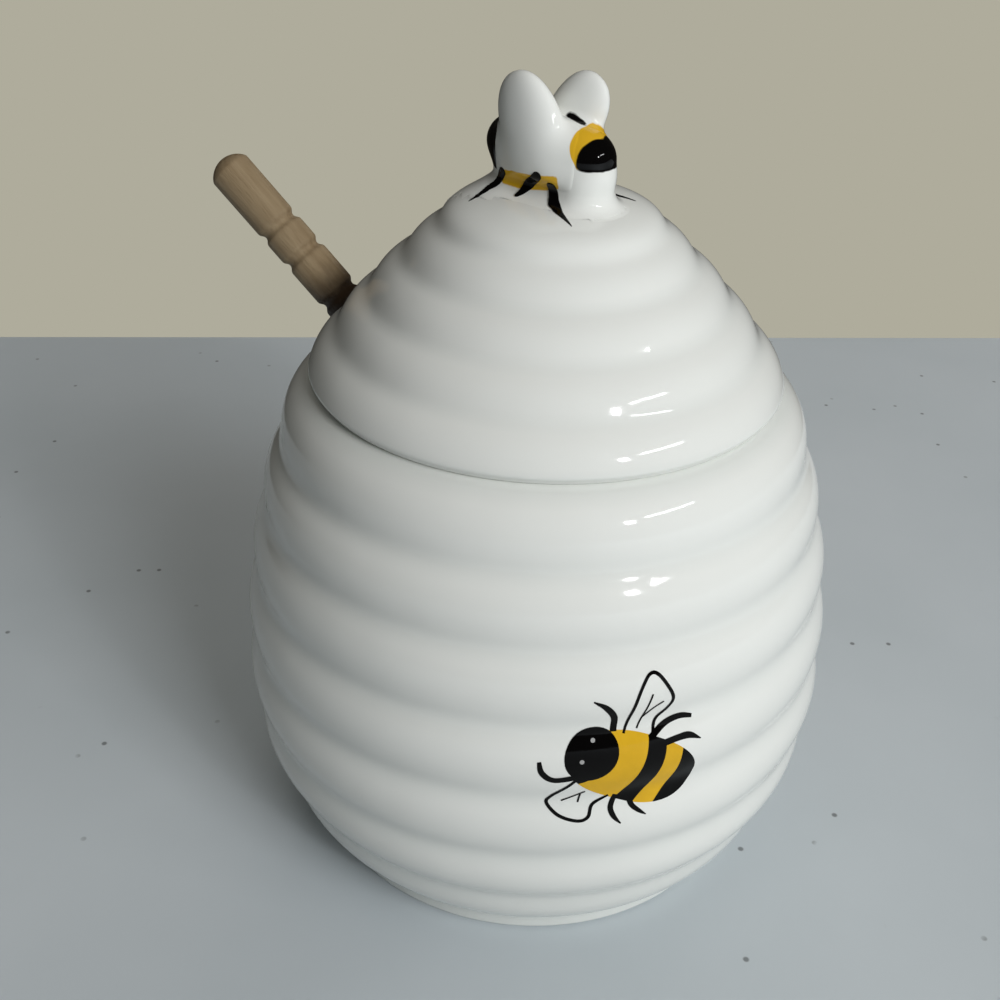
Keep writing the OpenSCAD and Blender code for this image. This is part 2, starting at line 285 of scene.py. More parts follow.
def surface_of(field, low, high, step):
    """Points, faces and normals of the surface on which a field is 0, drawn with cells of one size."""
    axes = [np.arange(a, b + step, step) for a, b in zip(low, high)]
    grid = np.stack(np.meshgrid(*axes, indexing="ij"), axis=3)
    v = field(grid.reshape(-1, 3)).reshape(grid.shape[:3])
    cells = tuple(s - 1 for s in v.shape)

    def corner(o):
        return v[o[0] : cells[0] + o[0], o[1] : cells[1] + o[1], o[2] : cells[2] + o[2]]

    total, count = np.zeros(cells + (3,)), np.zeros(cells)
    for o, k in CELL_EDGES:
        far = tuple(o[i] + (i == k) for i in range(3))
        a, b = corner(o), corner(far)
        cross = (a < 0) != (b < 0)
        spot = np.tile(np.array(o, float), (int(cross.sum()), 1))
        spot[:, k] += (a / np.where(cross, a - b, 1))[cross]
        total[cross] += spot
        count[cross] += 1
    active = count > 0
    index = np.full(cells, -1)
    index[active] = np.arange(int(active.sum()))
    verts = (np.argwhere(active) + total[active] / count[active][:, None]) * step + np.array([a[0] for a in axes])
    faces = []
    for k in range(3):
        i, j = (k + 1) % 3, (k + 2) % 3
        a, b = v.take(range(v.shape[k] - 1), k), v.take(range(1, v.shape[k]), k)
        at = np.argwhere((a < 0) != (b < 0))
        at = at[(at[:, i] > 0) & (at[:, j] > 0) & (at[:, i] < cells[i]) & (at[:, j] < cells[j])]
        ei, ej = np.eye(3, dtype=int)[i], np.eye(3, dtype=int)[j]
        quad = np.stack([index[tuple(c.T)] for c in (at - ei - ej, at - ej, at, at - ei)], axis=1)
        flip = ~(a[tuple(at.T)] < 0)
        quad[flip] = quad[flip][:, ::-1]
        faces += quad.tolist()
    for _ in range(4):
        g, size = slopes(field, verts)
        verts = verts - g * np.clip(field(verts) / np.maximum(size, 0.2), -step, step)[:, None]
    return verts, faces, slopes(field, verts)[0]


# ---------------------------------------------------------------- pot
pot_line = pot_outline()
verts, faces = turned(pot_line, even_turns(200))
pot = new_piece("pot_glazed", verts, faces, "pot", ["pot"])
# Painted shade: the glaze is drawn darker in the grooves, at the seam and round the foot, and a little darker inside
# the pot and under it
pot_edge = np.hypot(verts[:, 0], verts[:, 1])
line_r = np.array([pot_line_r(min(max(z, FOOT_Z), POT_HEIGHT)) for z in verts[:, 2]])
add_values(pot, "recess_shade", np.where(pot_edge > line_r - 2, np.clip(1 - (pot_edge - line_r) / 1.1, 0, 1), 0.3))


# ---------------------------------------------------------------- lid with its notch
def dipper_frame():
    """Origin, way up the handle, way across and way out and down, as in the part's source."""
    lean, turn = math.radians(DIPPER_LEAN), math.radians(DIPPER_TURN)
    flat = np.array([math.cos(turn), math.sin(turn), 0])
    up = flat * math.sin(lean) + np.array([0, 0, math.cos(lean)])
    out = flat * math.cos(lean) - np.array([0, 0, math.sin(lean)])
    across = np.array([-math.sin(turn), math.cos(turn), 0])
    origin = flat * MOUTH_R + np.array([0, 0, POT_HEIGHT]) - out * (HANDLE_R + REST_GAP)
    return origin, up, across, out


D_ORIGIN, D_UP, D_ACROSS, D_OUT = dipper_frame()
NOTCH_R, NOTCH_REACH = HANDLE_R + NOTCH_GAP, POT_HEIGHT / 4


def notch_field(p):
    """Distance outside the notch, and its direction."""
    q = p - D_ORIGIN
    across, out = q @ D_ACROSS, np.minimum(q @ D_OUT, 0)
    size = np.maximum(np.hypot(across, out), 1e-9)
    g = (across / size)[:, None] * D_ACROSS + (out / size)[:, None] * D_OUT
    return size - NOTCH_R, g


def notch_cutter():
    """The solid that the notch leaves out: an arch that is open below."""
    arch = [(NOTCH_R * math.cos(a), -NOTCH_R * math.sin(a)) for a in np.linspace(0, math.pi, 41)]
    arch = [(NOTCH_R, 34.0)] + arch + [(-NOTCH_R, 34.0)]
    n = len(arch)
    verts = [D_ORIGIN + D_ACROSS * x + D_OUT * y + D_UP * s for s in (-NOTCH_REACH, NOTCH_REACH * 2) for x, y in arch]
    faces = [tuple(range(n))[::-1], tuple(range(n, 2 * n))]
    faces += [(i, (i + 1) % n, n + (i + 1) % n, n + i) for i in range(n)]
    mesh = bpy.data.meshes.new("notch_cutter")
    mesh.from_pydata([tuple(v * MM) for v in verts], [], faces)
    bm = bmesh.new()
    bm.from_mesh(mesh)
    bmesh.ops.recalc_face_normals(bm, faces=bm.faces)
    bm.to_mesh(mesh)
    bm.free()
    cutter = bpy.data.objects.new("notch_cutter", mesh)
    bpy.context.scene.collection.objects.link(cutter)
    return cutter


def cut_away(verts, faces, cutter):
    """Points and faces of a mesh after another solid is cut from it."""
    mesh = bpy.data.meshes.new("uncut")
    mesh.from_pydata([tuple(v) for v in verts * MM], [], faces)
    whole = bpy.data.objects.new("uncut", mesh)
    bpy.context.scene.collection.objects.link(whole)
    cut = whole.modifiers.new("notch", "BOOLEAN")
    cut.operation, cut.solver, cut.object = "DIFFERENCE", "EXACT", cutter
    done = bpy.data.meshes.new_from_object(whole.evaluated_get(bpy.context.evaluated_depsgraph_get()))
    points = np.array([v.co for v in done.vertices]) / MM
    polygons = [tuple(f.vertices) for f in done.polygons]
    for obj in (whole, cutter):
        bpy.data.objects.remove(obj)
    return points, polygons


lid_line = lid_outline()


def lid_field(p):
    r = np.maximum(np.hypot(p[:, 0], p[:, 1]), 1e-6)
    d, n = nearest_on_outline(lid_line, r, p[:, 2])
    g = np.stack([n[:, 0] * p[:, 0] / r, n[:, 0] * p[:, 1] / r, n[:, 1]], axis=1)
    nd, ng = notch_field(p)
    return smooth_max((d, g), (-nd, -ng), 0.9)


def lid_turns():
    """Columns 3 degrees apart, and close together round the notch."""
    near = math.radians(15)
    middle = math.radians(DIPPER_TURN)
    fine = np.linspace(-near, near, 48)
    wide = np.linspace(near, 2 * math.pi - near, 130)[1:-1]
    return middle + np.concatenate([fine, wide])


verts, faces = turned(lid_line, lid_turns())
verts, faces = cut_away(verts, faces, notch_cutter())
near_notch = notch_field(verts)[0] < 1.5
for _ in range(3):
    d, g = lid_field(verts[near_notch])
    verts[near_notch] -= g * d[:, None]
lid = new_piece("lid_glazed", verts, faces, "lid", ["lid"], lid_field(verts)[1])
# Painted shade: the lid's glaze is drawn darker along its grooves
groove_line = np.array([bow_point(t) for t in np.linspace(0, 1, 30)])
above_grooves = nearest_on_outline(groove_line, np.hypot(verts[:, 0], verts[:, 1]), verts[:, 2])[0]
add_values(lid, "recess_shade", np.clip(1 - np.abs(above_grooves) / 0.5, 0, 1))


# ---------------------------------------------------------------- bee on the lid
def bee_axes():
    turn = math.radians(BEE_TURN)
    ahead = np.array([math.cos(turn), math.sin(turn), 0])
    left = np.array([-math.sin(turn), math.cos(turn), 0])
    return -ahead * BEE_BACK + np.array([0, 0, BEE_Z]), ahead, left


B_ORIGIN, B_AHEAD, B_LEFT = bee_axes()


def in_bee(p):
    """Ahead, left and up from the middle of the bee's body."""
    q = p - B_ORIGIN
    return q @ B_AHEAD, q @ B_LEFT, q[:, 2]


def body_field(p):
    """Blunt towards the head, and narrower towards the tail."""
    x, y, z = in_bee(p)
    rho = np.hypot(y, z) / BEE_R
    ahead, behind = np.maximum(x, 0) / (BEE_LENGTH / 2), np.maximum(-x, 0) / (BEE_LENGTH / 2 - TAIL_SHORTER)
    return (np.maximum(ahead**2.7 + behind**2.22 + rho**2.4, 1e-9) ** 0.42 - 1) * BEE_R


def plinth_field(p):
    """An upright plinth below the body with round ends, and a foot below the tail that spreads over the crown."""
    x, y, z = in_bee(p)
    run = x - np.clip(x, TAIL_X + PLINTH_R * 0.45, BEE_LENGTH / 2 - PLINTH_R)
    plinth = np.hypot(run, y) - PLINTH_R - 0.035 * np.clip(-z - 4.6, 0, 6) ** 2
    foot = (np.hypot(x - TAIL_X, y) - np.clip(2.0 - (z + 3.4), 0.5, 8.9)) / 1.4
    return smooth_most(smooth_least(plinth, foot, 1.2), z + 1.5, 2.0)


def wing_field(side):
    """A thick rounded petal that stands on the flank. The left one leans ahead and the right one back."""
    lean, skew = math.radians(WING_LEAN) * side, math.radians(WING_SKEW[side]) * side
    height, half_wide = WING_HEIGHT[side], WING_R[side]

    def field(p):
        x, y, z = in_bee(p)
        x, y = x - WING_AHEAD[side], y - side * WING_OUT
        across = y * math.cos(lean) - z * math.sin(lean)
        tall = z * math.cos(lean) + y * math.sin(lean)
        ahead = x * math.cos(skew) - tall * math.sin(skew)
        tall = tall * math.cos(skew) + x * math.sin(skew)
        up = (tall - (height - WING_BELOW) / 2) / ((height + WING_BELOW) / 2)
        thick = WING_THICK / 2 * (1.04 - 0.2 * up)
        wide = np.abs(ahead / half_wide / (1 + WING_FLARE[side] * np.clip(up, -1, 1)))
        f = wide**2.2 + np.abs(across / thick) ** 2.0 + np.abs(up) ** 2.3
        petal = (np.maximum(f, 1e-9) ** 0.46 - 1) * WING_THICK * 0.5
        return smooth_most(petal, WING_FOOT - z, 0.8)

    return field


crown_line = lid_line[lid_line[:, 0].argmax() :]
crown_line = crown_line[(crown_line[:, 1] > CROWN_Z - CROWN_RISE) & (crown_line[:, 0] < CROWN_R)][::-1]
crown_line = np.vstack([crown_line, crown_line[-1] + [0.6, -8.0]])
crown_fall = np.hypot(1, np.gradient(crown_line[:, 1], crown_line[:, 0]))


def crown_field(p):
    """About the distance to the dome of the crown, as the lid's own outline has it."""
    r = np.hypot(p[:, 0], p[:, 1])
    return (p[:, 2] - np.interp(r, crown_line[:, 0], crown_line[:, 1])) / np.interp(r, crown_line[:, 0], crown_fall)


left_wing, right_wing = wing_field(1), wing_field(-1)


def bee_alone(p):
    return smooth_least(body_field(p), plinth_field(p), 1.6)


def whole_figure(p):
    """Lid crown and bee together, as one skin."""
    return smooth_least(bee_alone(p), crown_field(p), 2.6)


def bee_field(p):
    """Body and plinth, flowing out over the crown until they sink into it."""
    spread = smooth_most(whole_figure(p) + 0.03, bee_alone(p) - 3.2, 0.3)
    return smooth_most(spread, -crown_field(p) - 0.25, 0.2)


def wing_on_body(wing):
    def field(p):
        w = wing(p)
        return smooth_most(smooth_least(w, bee_alone(p), 1.4), w - 1.25, 0.3)

    return field


left_on_body, right_on_body = wing_on_body(left_wing), wing_on_body(right_wing)


def figure_skin(p):
    """The outside of everything on the lid's crown."""
    return np.minimum.reduce([whole_figure(p), left_on_body(p), right_on_body(p)])


def least(*limits):
    """How far a point lies inside all of these limits."""
    return np.minimum.reduce(np.broadcast_arrays(*limits))


def off_wings_by(p, margin):
    """How much further than the margin a point lies outside both wings."""
    return np.minimum(left_wing(p), right_wing(p)) - margin


def yellow_patches(p):
    """A collar behind the head and a patch low on each flank."""
    x, y, z = in_bee(p)
    off_wings = off_wings_by(p, 0.3)
    collar = least(smooth_least(x - 7.25, z - 1.9 + (x - 7.3) * 1.5, 1.6) + 0.15, z + 0.5, 5.2 - z, off_wings)
    above, below = -2.45 + 0.11 * x - z, z + 4.55 - 0.13 * x + 0.5 * np.maximum(1 - ((x - 1) / 5) ** 2, 0)
    flank = least(smooth_least(x + 4.3, below, 0.6), smooth_least(6.3 - x, above, 0.6), np.abs(y) - 3.0)
    return np.maximum(collar, flank)


def black_patches(p):
    """The head, the tail and a short line along the back between the wings."""
    x, y, z = in_bee(p)
    off_wings = off_wings_by(p, 0.4)
    head = least(smooth_least(x - 10.2 + 0.38 * np.abs(y), z + 0.7, 1.2) + 0.1, off_wings + 0.2)
    tail = least(-5.7 - x, z + 3.4, off_wings)
    line = 0.42 - np.hypot(np.maximum(np.abs(x - 5.3) - 1.0, 0) * 0.5, y - 0.1) + np.minimum(z - 3, 0)
    return np.maximum.reduce([head, tail, line])


bee_low, bee_high = B_ORIGIN - np.array([16, 16, 14]), B_ORIGIN + np.array([16, 16, 15])
verts, faces, normals = surface_of(bee_field, bee_low, bee_high, 0.4)
bee = new_piece("bee_figure", verts, faces, "lid", ["bee_body"], normals)
painted = [(bee, verts)]
wings = []
for name, field, node in (("left", left_on_body, "bee_wing_left"), ("right", right_on_body, "bee_wing_right")):
    verts, faces, normals = surface_of(field, bee_low, bee_high, 0.4)
    wings.append(new_piece("wing_petal_" + name, verts, faces, "lid", [node], normals))
    painted.append((wings[-1], verts))
for piece, verts in painted:
    add_values(piece, "yellow", yellow_patches(verts))
    add_values(piece, "black", black_patches(verts))

# Three painted legs on each flank: how far ahead, out to the side and up each point is, and the stroke's half width
LEGS = {
    "rear": ((-4.2, 4.6, -3.4, 0.7), (-6.0, 5.4, -5.9, 0.6), (-6.4, 7.4, -6.7, 0.33), (-6.6, 9.4, -7.3, 0.06)),
    "middle": ((3.1, 5.6, -2.2, 0.72), (0.7, 4.6, -4.3, 0.8), (-0.6, 5.5, -5.9, 0.35)),
    "front": ((5.0, 4.8, -3.6, 0.75), (5.9, 5.2, -5.6, 0.85), (8.0, 6.3, -6.5, 0.46), (11.5, 7.9, -7.2, 0.06)),
}


def leg_marks(points, side):
    """Points of a leg's stroke, close together and laid on the skin, and its half width at each."""
    q = dense([(x, y * side, z, w) for x, y, z, w in points], 0.5)
    p = B_ORIGIN + q[:, :1] * B_AHEAD + q[:, 1:2] * B_LEFT + q[:, 2:3] * np.array([0, 0, 1])
    for _ in range(5):
        g, size = slopes(figure_skin, p)
        p = p - g * (figure_skin(p) / np.maximum(size, 0.3))[:, None]
    return p, q[:, 3]


def leg_field(marks, widths):
    """The part of a skin just outside the figure that lies within a stroke with a round start and a pointed end."""

    def field(p):
        found = np.full(len(p), 99.0)
        for a, b, w, v in zip(marks, marks[1:], widths, widths[1:]):
            ab = b - a
            t = np.clip((p - a) @ ab / (ab @ ab), 0, 1)
            found = np.minimum(found, np.linalg.norm(p - (a + t[:, None] * ab), axis=1) - (w + (v - w) * t))
        skin = figure_skin(p)
        return np.maximum(found, np.maximum(skin - 0.12, -skin - 0.5))

    return field


legs = []
for side, side_name in ((1, "left"), (-1, "right")):
    for name, points in LEGS.items():
        marks, widths = leg_marks(points, side)
        verts, faces, normals = surface_of(leg_field(marks, widths), marks.min(0) - 1.2, marks.max(0) + 1.2, 0.16)
        legs.append(new_piece(f"painted_leg_{name}_{side_name}", verts, faces, "lid", (), normals))


# ---------------------------------------------------------------- bee painted on the pot
# The painted bee's own frame: along runs from its head to its tail, across runs up over its back
DECAL_TURN, DECAL_Z, DECAL_TILT, DECAL_R = -72.0, 45.8, 24.0, 49.0
BODY_MIDDLE, BODY_HALF, BODY_WIDE = 0.9, 10.5, 5.9
# How far each layer of paint lies above the glaze, so that the later one covers the earlier one
YELLOW_LIFT, BLACK_LIFT, EYE_LIFT = 0.04, 0.06, 0.08
# The wings' outlines and veins, as (along, across)
WING_OUTLINES = (
    [
        (-3.4, 4.2), (-3.8, 8.0), (-4.3, 11.6), (-4.0, 14.2), (-2.6, 14.6),
        (0.2, 12.9), (1.6, 11.4), (1.5, 9.6), (0.6, 7.4), (1.2, 4.6),
    ],
    [
        (-6.6, -3.6), (-7.4, -6.4), (-8.6, -9.4), (-8.6, -10.8), (-6.2, -11.9),
        (-3.2, -11.7), (-2.0, -10.6), (-2.2, -8.6), (-0.6, -6.4),
    ],
)
WING_VEINS = (
    [(-1.7, 5.4), (-1.8, 8.6), (-2.2, 11.6)],
    [(-1.7, 7.4), (-0.8, 9.4), (0.2, 10.8)],
    [(-4.4, -6.6), (-5.6, -8.2), (-6.8, -9.6)],
    [(-4.8, -7.4), (-4.4, -9.0)],
)
VEIN_HALF_WIDTH = 0.14

outer_line = pot_line[(pot_line[:, 0] > FOOT_R) & (pot_line[:, 1] > 6) & (pot_line[:, 1] < POT_HEIGHT - 4)]
outer_line = outer_line[outer_line[:, 0] > [pot_line_r(z) - 1 for z in outer_line[:, 1]]]
outer_normals = outline_normals(outer_line)


def on_pot(along, across, lift):
    """Point on the glaze and the way out from it, for a point of the painted bee."""
    tilt = math.radians(DECAL_TILT)
    side = along * math.cos(tilt) + across * math.sin(tilt)
    z = DECAL_Z - along * math.sin(tilt) + across * math.cos(tilt)
    turn = math.radians(DECAL_TURN) + side / DECAL_R
    columns = (outer_line[:, 0], outer_normals[:, 0], outer_normals[:, 1])
    r, nr, nz = (np.interp(z, outer_line[:, 1], v) for v in columns)
    way = np.array([nr * math.cos(turn), nr * math.sin(turn), nz])
    way /= np.linalg.norm(way)
    return np.array([r * math.cos(turn), r * math.sin(turn), z]) + way * lift, way


class Sheet:
    """A thin layer of paint on the pot, made of patches of small faces."""

    def __init__(self, name, lift):
        self.name, self.lift, self.verts, self.normals, self.faces = name, lift, [], [], []

    def patch(self, rows):
        """Faces between rows of (along, across) points of equal number."""
        n, start = len(rows[0]), len(self.verts)
        for row in rows:
            for along, across in row:
                point, way = on_pot(along, across, self.lift)
                self.verts.append(point)
                self.normals.append(way)
        for i in range(len(rows) - 1):
            for k in range(n - 1):
                a, b = start + i * n + k, start + (i + 1) * n + k
                self.faces.append((a, b, b + 1, a + 1))

    def stroke(self, points, widths):
        """A brush stroke through the points, with a half width at each."""
        run = smooth_path([(*p, w) for p, w in zip(points, widths)])
        way = np.gradient(run[:, :2], axis=0)
        way /= np.maximum(np.linalg.norm(way, axis=1, keepdims=True), 1e-9)
        off = np.stack([-way[:, 1], way[:, 0]], axis=1) * run[:, 2:]
        self.patch([[tuple(p[:2] + o * k) for k in (-1, 0, 1)] for p, o in zip(run, off)])

    def blob(self, middle, half_along, half_across, rings=10, spokes=36):
        rows = []
        for i in range(rings + 1):
            share = i / rings
            turns = [2 * math.pi * k / spokes for k in range(spokes + 1)]
            wide, tall = half_along * share, half_across * share
            rows.append([(middle[0] + wide * math.cos(a), middle[1] + tall * math.sin(a)) for a in turns])
        self.patch(rows)

    def piece(self, material):
        obj = new_piece(self.name, self.verts, self.faces, "pot", (), self.normals)
        dress(obj, material)
        return obj


def smooth_path(points, spacing=0.3):
    """A curve through the points, each coordinate of which turns smoothly."""
    p = np.array(points, float)
    long = np.concatenate([[2 * p[0] - p[1]], p, [2 * p[-1] - p[-2]]])
    run = []
    for k in range(len(p) - 1):
        a, b, c, d = long[k : k + 4]
        steps = max(2, int(np.linalg.norm((c - b)[:2]) / spacing))
        for t in np.arange(steps) / steps:
            square, cube = (2 * a - 5 * b + 4 * c - d) * t**2, (3 * b - a - 3 * c + d) * t**3
            run.append(0.5 * (2 * b + (c - a) * t + square + cube))
    run.append(p[-1])
    return np.array(run)


def body_edge(start, bend):
    """A line across the body that bends towards the tail in its middle."""

    def along(q):
        return start - bend * q * q

    return along


def body_band(sheet, first, last, steps):
    """A stripe of the egg-shaped body between two lines across it."""
    rows = []
    for i in range(steps + 1):
        row = []
        for q in np.linspace(-1, 1, 33):
            along = first(q) + (last(q) - first(q)) * i / steps
            share = min(1.0, abs((along - BODY_MIDDLE) / BODY_HALF))
            row.append((along, -0.8 + q * BODY_WIDE * math.sqrt(1 - share**2.3)))
        rows.append(row)
    sheet.patch(rows)


def painted_bee():
    """A plain little bee seen from above: black head and stripes, yellow body, and wings drawn in outline."""
    tail_end = BODY_MIDDLE + BODY_HALF
    collar, stripe = body_edge(-4.3, 2.0), body_edge(1.6, 1.2)
    stripe_end, tail = body_edge(4.7, 1.2), body_edge(7.7, 1.0)
    yellow, black = Sheet("painted_bee_yellow", YELLOW_LIFT), Sheet("painted_bee_black", BLACK_LIFT)
    grey = Sheet("painted_bee_eyes", EYE_LIFT)
    body_band(yellow, collar, stripe, 16)
    body_band(yellow, stripe_end, tail, 10)
    body_band(black, stripe, stripe_end, 10)
    body_band(black, tail, lambda q: tail_end, 10)
    black.blob((-6.6, -0.2), 3.9, 4.3)
    body_band(black, lambda q: -7.0, collar, 8)
    black.stroke([(-10.3, 8.0), (-8.0, 7.6), (-6.0, 6.3), (-5.0, 4.0)], [0.12, 0.45, 0.5, 0.5])
    black.stroke([(-13.2, -3.9), (-12.0, -5.4), (-9.8, -5.9), (-6.8, -4.0)], [0.3, 0.45, 0.5, 0.5])
    black.stroke([(0.8, 4.6), (2.4, 7.2), (4.4, 8.6), (6.6, 9.0)], [0.5, 0.5, 0.48, 0.3])
    black.stroke([(3.0, 4.3), (5.2, 5.6), (7.0, 6.3), (9.2, 6.1)], [0.5, 0.5, 0.5, 0.08])
    black.stroke([(0.4, -6.0), (0.6, -8.2), (1.7, -9.4), (3.2, -10.2)], [0.4, 0.42, 0.36, 0.1])
    black.stroke([(2.6, -5.8), (3.6, -7.0), (5.2, -7.6), (6.4, -7.9)], [0.5, 0.4, 0.3, 0.08])
    for outline in WING_OUTLINES:
        black.stroke(outline, [0.2] + [0.26] * (len(outline) - 2) + [0.2])
    for vein in WING_VEINS:
        black.stroke(vein, [VEIN_HALF_WIDTH] * len(vein))
    for eye in ((-7.4, 1.9), (-7.6, -1.5)):
        grey.blob(eye, 0.34, 0.34, 2, 16)
    yellow.piece(paint("painted_yellow", YELLOW_PAINT))
    black.piece(paint("painted_black", BLACK_PAINT))
    grey.piece(paint("painted_grey", srgb(170, 170, 168)))


# ---------------------------------------------------------------- dipper
def lowest_rest():
    """How far below the notch the head comes to rest against the pot, as in the part's source."""
    end_r, pitch = HEAD_R * 0.78, HEAD_LENGTH / (HEAD_RINGS + 0.5)
    lean = math.radians(DIPPER_LEAN)
    up, out = np.array([math.sin(lean), math.cos(lean)]), np.array([-math.cos(lean), math.sin(lean)])
    axis = np.array([MOUTH_R, POT_HEIGHT]) + out * (HANDLE_R + REST_GAP)

    def gap(s):
        found = []
        for i in range(HEAD_RINGS):
            t = (i + 0.5) / HEAD_RINGS * 2 - 1
            r = end_r + (HEAD_R - end_r) * (1 - t * t)
            for turn in range(0, 181, 20):
                a = math.radians(turn)
                p = axis + up * (s + pitch * (i + 0.1)) + out * (r * math.cos(a))
                side = math.hypot(p[0], r * math.sin(a))
                found.append(min(cavity_r(max(p[1], FLOOR)) - side, p[1] - FLOOR))
        return min(found)

    s = -POT_HEIGHT * 0.5
    while gap(s - 0.5) >= REST_GAP + 0.4:
        s -= 0.5
    return s


def dipper_outline():
    end_r, pitch = HEAD_R * 0.78, HEAD_LENGTH / (HEAD_RINGS + 0.5)
    neck = HANDLE_R * 1.24
    points = [(0, -1.2), (end_r * 0.6, -0.6)]
    for i in range(HEAD_RINGS):
        t, z = (i + 0.5) / HEAD_RINGS * 2 - 1, pitch * i
        r, top = end_r + (HEAD_R - end_r) * (1 - t * t), pitch * i + pitch * 0.58
        points += [(r - 0.5, z), (r, z + 0.5), (r, top - 0.5), (r - 0.5, top)]
        points += [(neck, top + 0.4), (neck, z + pitch - 0.4)]
    points += [(HANDLE_R, HEAD_LENGTH + 1.5)]
    for g in HANDLE_GROOVES:
        z = DIPPER_LENGTH - g
        deep = HANDLE_R - GROOVE_DEPTH
        points += [(HANDLE_R, z - 1), (deep, z - 0.3), (deep, z + 0.3), (HANDLE_R, z + 1)]
    low, dome = DIPPER_LENGTH - HANDLE_R * 1.17, HANDLE_R * 1.17
    points += [(dome * math.cos(a), low + dome * math.sin(a)) for a in np.linspace(math.radians(31), math.pi / 2, 12)]
    return soften(points, 0.22)


line = dipper_outline()
verts, faces = turned(line, even_turns(56))
grain = verts.copy()
D_FOOT = D_ORIGIN + D_UP * lowest_rest()
verts = D_FOOT + verts[:, :1] * D_OUT + verts[:, 1:2] * D_ACROSS + verts[:, 2:] * D_UP
dipper = new_piece("dipper_turned", verts, faces, "dipper", ["dipper"])
add_values(dipper, "grain", grain)


# ---------------------------------------------------------------- materials
class Shader:
    """A material with one Principled shader, and short ways to add nodes to it."""

    def __init__(self, name, rough, colour):
        self.material = bpy.data.materials.new(name)
        self.material.use_nodes = True
        self.tree = self.material.node_tree
        self.main = self.tree.nodes["Principled BSDF"]
        self.main.inputs["Roughness"].default_value = rough
        self.main.inputs["Base Color"].default_value = (*colour, 1)

    def add(self, kind, links=(), **settings):
        node = self.tree.nodes.new(kind)
        for key, value in settings.items():
            setattr(node, key, value)
        for socket, value in dict(links).items():
            self.put(value, node.inputs[socket])
        return node

    def put(self, value, socket):
        if isinstance(value, bpy.types.NodeSocket):
            self.tree.links.new(value, socket)
        else:
            socket.default_value = value

    def noise(self, scale, detail=3, where=None, rough=0.5):
        where = where or self.add("ShaderNodeTexCoord").outputs["Object"]
        node = self.add("ShaderNodeTexNoise", {"Vector": where, "Scale": scale, "Detail": detail, "Roughness": rough})
        return node.outputs["Fac"]

    def math(self, kind, a, b=0.0, clamp=False):
        node = self.add("ShaderNodeMath", {0: a, 1: b}, operation=kind, use_clamp=clamp)
        return node.outputs[0]

    def span(self, value, low, high, first=0.0, last=1.0):
        limits = {"From Min": low, "From Max": high, "To Min": first, "To Max": last}
        return self.add("ShaderNodeMapRange", {"Value": value, **limits}).outputs["Result"]

    def mix(self, share, one, other):
        node = self.add("ShaderNodeMix", data_type="RGBA")
        self.put(share, node.inputs["Factor"])
        for name, value in (("A", one), ("B", other)):
            socket = [s for s in node.inputs if s.name == name and s.type == "RGBA"][0]
            self.put((*value, 1) if isinstance(value, tuple) else value, socket)
        return [s for s in node.outputs if s.type == "RGBA"][0]

    def read(self, name):
        return self.add("ShaderNodeAttribute", attribute_name=name)

    def bump(self, height, distance_m, strength=1.0, below=None):
        links = {"Height": height, "Distance": distance_m, "Strength": strength}
        if below is not None:
            links["Normal"] = below
        return self.add("ShaderNodeBump", links).outputs["Normal"]


def srgb(r, g, b):
    return tuple((c / 255 / 12.92) if c < 11 else ((c / 255 + 0.055) / 1.055) ** 2.4 for c in (r, g, b))


# The second white is greyer: random clouds in the glaze, and painted shade in the recesses
WHITE_GLAZE, CLOUD_AND_SHADE_GLAZE = srgb(238, 239, 234), srgb(222, 225, 220)
YELLOW_PAINT, BLACK_PAINT = srgb(226, 178, 42), srgb(8, 7, 7)


def glaze_skin(s):
    """The slight waves and the uneven shine of a dipped glaze."""
    waves = s.noise(90, 1)
    grit = s.noise(900, 2)
    s.put(s.bump(grit, 0.000004, 1.0, s.bump(waves, 0.00025, 0.5)), s.main.inputs["Normal"])
    s.put(s.span(s.noise(160, 3), 0.3, 0.7, 0.05, 0.09), s.main.inputs["Roughness"])


def white_glaze(name):
    s = Shader(name, 0.07, WHITE_GLAZE)
    cloud = s.span(s.noise(45, 4), 0.35, 0.75, 0.0, 0.35)
    # Painted shade in the recesses, plus random clouding of the glaze
    share = s.math("ADD", s.math("MULTIPLY", s.read("recess_shade").outputs["Fac"], 0.55), s.math("MULTIPLY", cloud, 0.4), True)
    s.put(s.mix(share, WHITE_GLAZE, CLOUD_AND_SHADE_GLAZE), s.main.inputs["Base Color"])
    glaze_skin(s)
    return s.material


def bee_glaze(name):
    """White with yellow and black brushed on. The mesh holds how far each point lies inside each painted patch."""
    s = Shader(name, 0.07, WHITE_GLAZE)
    s.main.inputs["Specular IOR Level"].default_value = 0.3
    wobble = s.span(s.noise(420, 2), 0, 1, -0.22, 0.22)
    colour = WHITE_GLAZE
    for name, paint in (("yellow", YELLOW_PAINT), ("black", BLACK_PAINT)):
        inside = s.math("ADD", s.read(name).outputs["Fac"], wobble)
        colour = s.mix(s.span(inside, -0.08, 0.08), colour, paint)
    s.put(colour, s.main.inputs["Base Color"])
    glaze_skin(s)
    return s.material


def paint(name, colour):
    """Overglaze paint, a little uneven as a brush leaves it."""
    s = Shader(name, 0.08, colour)
    s.main.inputs["Specular IOR Level"].default_value = 0.15
    brushed = s.span(s.noise(330, 3), 0.35, 0.7)
    s.put(s.mix(brushed, colour, tuple(c * 0.9 for c in colour)), s.main.inputs["Base Color"])
    glaze_skin(s)
    return s.material


